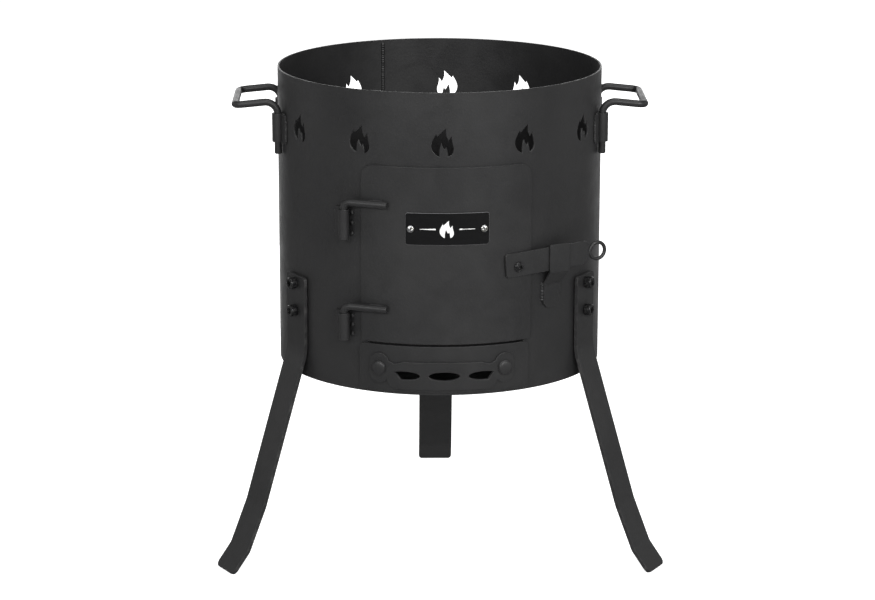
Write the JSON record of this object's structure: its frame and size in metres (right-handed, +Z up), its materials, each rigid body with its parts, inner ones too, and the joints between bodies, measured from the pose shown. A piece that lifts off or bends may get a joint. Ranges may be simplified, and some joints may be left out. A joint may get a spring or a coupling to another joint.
{
  "type": "kettle stove",
  "caption": "Free-standing round steel fire stove for a hanging or resting kettle, with a hinged fire door, drop latch, air damper, lift-out handles and bolted legs.",
  "frame": {"origin": "on the ground, under the middle of the whole stove's footprint box; the drum's own axis stands 46.6 mm in front of it", "axes": "+Z up; the fire door faces -Y; +X is to the right of someone facing the door, on the latch's side"},
  "size_m": [0.4966, 0.4624, 0.5437],
  "materials": {
    "coated_steel": "satin black heat-resistant powder coat on sheet, flat bar and rod",
    "plate_black": "gloss black plate with a bare bright edge",
    "black_steel": "blackened steel fasteners, satin",
    "zinc_steel": "bright zinc-plated screws and nuts",
    "grate_steel": "dull dark steel"
  },
  "bodies": {
    "stove": {"drum_shell": "coated_steel", "floor_plate": "coated_steel", "grate_lug_left": "coated_steel", "grate_lug_right": "coated_steel", "grate_lug_rear": "coated_steel", "hinge_sleeve_upper": "coated_steel", "hinge_sleeve_lower": "coated_steel", "latch_catch": "coated_steel", "air_panel": "coated_steel", "leg_left": "coated_steel", "leg_right": "coated_steel", "leg_rear": "coated_steel", "leg_bolt_left_lower": "black_steel", "leg_bolt_left_upper": "black_steel", "leg_bolt_right_lower": "black_steel", "leg_bolt_right_upper": "black_steel", "leg_bolt_rear_lower": "black_steel", "leg_bolt_rear_upper": "black_steel", "leg_nut_left_lower": "black_steel", "leg_nut_left_upper": "black_steel", "leg_nut_right_lower": "black_steel", "leg_nut_right_upper": "black_steel", "leg_nut_rear_lower": "black_steel", "leg_nut_rear_upper": "black_steel", "handle_sleeve_left_front": "coated_steel", "handle_sleeve_left_rear": "coated_steel", "handle_sleeve_right_front": "coated_steel", "handle_sleeve_right_rear": "coated_steel"},
    "door": {"door_panel": "coated_steel", "hinge_pin_upper": "coated_steel", "hinge_pin_lower": "coated_steel", "name_plate": "plate_black", "plate_screw_left": "zinc_steel", "plate_screw_right": "zinc_steel", "plate_nut_left": "zinc_steel", "plate_nut_right": "zinc_steel", "latch_pivot_bolt": "black_steel", "latch_pivot_nut": "black_steel"},
    "latch": {"latch_lever": "coated_steel", "latch_ring": "coated_steel"},
    "air_damper": {"air_slider": "coated_steel", "slider_bolt_left": "black_steel", "slider_bolt_right": "black_steel", "slider_nut_left": "black_steel", "slider_nut_right": "black_steel"},
    "handle_left": {"handle_left": "coated_steel"},
    "handle_right": {"handle_right": "coated_steel"},
    "grate": {"fire_grate": "grate_steel"}
  },
  "joints": [
    {"name": "door_hinge", "type": "hinge", "parent": "stove", "child": "door", "pos_m": [-0.10531, -0.2057, 0.3425], "axis": [0, 0, -1], "range_deg": [0, 120]},
    {"name": "latch_pivot", "type": "hinge", "parent": "door", "child": "latch", "pos_m": [0.08128, -0.21179, 0.3523], "axis": [0.4415, -0.8973, 0], "range_deg": [0, 60]},
    {"name": "air_slide", "type": "slide", "parent": "stove", "child": "air_damper", "axis": [0, 0, 1], "range_m": [0, 0.01]},
    {"name": "handle_lift_left", "type": "slide", "parent": "stove", "child": "handle_left", "axis": [0, 0, 1], "range_m": [0, 0.05]},
    {"name": "handle_lift_right", "type": "slide", "parent": "stove", "child": "handle_right", "axis": [0, 0, 1], "range_m": [0, 0.05]},
    {"name": "grate_lift", "type": "slide", "parent": "stove", "child": "grate", "axis": [0, 0, 1], "range_m": [0, 0.29]}
  ]
}
